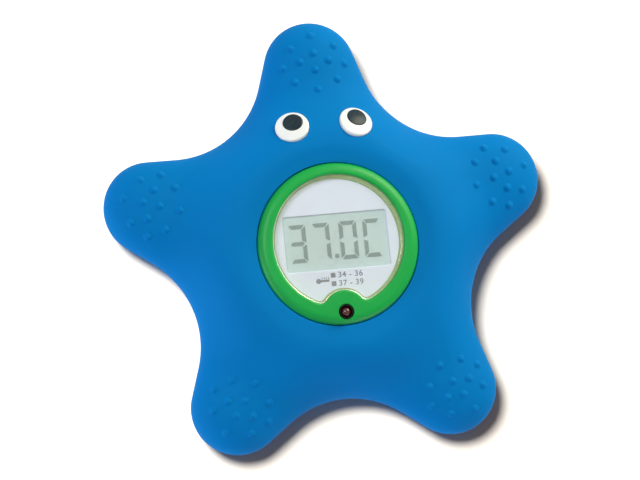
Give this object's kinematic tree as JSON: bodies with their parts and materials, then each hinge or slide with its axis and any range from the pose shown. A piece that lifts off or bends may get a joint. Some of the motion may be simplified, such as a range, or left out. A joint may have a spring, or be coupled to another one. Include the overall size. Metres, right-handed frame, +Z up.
{
  "type": "baby bath thermometer",
  "caption": "Floating starfish bath thermometer with a round display window, alarm lamp, domed eyes and nubbed arms; sealed shells with a screwed battery door.",
  "frame": {"origin": "on the flat base, at the centre of the starfish and of the battery door", "axes": "+Z up through the display, +Y along the arm with the eyes, +X to the right as the display is read"},
  "size_m": [0.121, 0.1164, 0.0264],
  "materials": {
    "blue_soft_plastic": "satin moulded",
    "green_gloss_plastic": "gloss moulded",
    "white_gloss_plastic": "gloss",
    "white_dial": "satin",
    "black_plastic": "gloss",
    "dark_rubber": "matt",
    "clear_plastic": "polished clear",
    "display_glass": "polarised display glass",
    "white_frame_plastic": "as moulded",
    "green_circuit_board": "solder mask",
    "stainless_steel": "drawn",
    "screw_steel": "plated",
    "nickel_spring_strip": "nickel plated",
    "red_lamp": "tinted clear",
    "tan_ceramic": "fired",
    "red_wire": "insulated",
    "black_wire": "insulated"
  },
  "bodies": {
    "root": {"alarm_lamp": "red_lamp", "back_shell": "blue_soft_plastic", "battery_door": "blue_soft_plastic", "bezel": "green_gloss_plastic", "bezel_seal": "dark_rubber", "board_screw_1": "screw_steel", "board_screw_2": "screw_steel", "board_screw_3": "screw_steel", "board_screw_4": "screw_steel", "capacitor": "tan_ceramic", "circuit_board": "green_circuit_board", "coin_cell": "stainless_steel", "contact_strip_lower": "dark_rubber", "contact_strip_upper": "dark_rubber", "contact_wire_left": "red_wire", "contact_wire_right": "red_wire", "controller_chip": "black_plastic", "dial_face": "white_dial", "display_frame": "white_frame_plastic", "door_screw_1": "screw_steel", "door_screw_2": "screw_steel", "door_screw_3": "screw_steel", "door_seal": "dark_rubber", "eye_left": "white_gloss_plastic", "eye_right": "white_gloss_plastic", "frame_screw_1": "screw_steel", "frame_screw_2": "screw_steel", "frame_screw_3": "screw_steel", "front_shell": "blue_soft_plastic", "lamp_lead_left": "nickel_spring_strip", "lamp_lead_right": "nickel_spring_strip", "lamp_sleeve": "black_plastic", "lcd_panel": "display_glass", "lens": "clear_plastic", "probe_cap": "stainless_steel", "probe_wire_left": "black_wire", "probe_wire_right": "black_wire", "pupil_left": "black_plastic", "pupil_right": "black_plastic", "quartz_crystal": "stainless_steel", "seam_seal": "dark_rubber", "shell_screw_1": "screw_steel", "shell_screw_2": "screw_steel", "shell_screw_3": "screw_steel", "shell_screw_4": "screw_steel", "shell_screw_5": "screw_steel", "side_contact": "nickel_spring_strip", "spring_contact": "nickel_spring_strip", "thermistor": "tan_ceramic", "water_contact_left": "stainless_steel", "water_contact_right": "stainless_steel"}
  },
  "joints": []
}
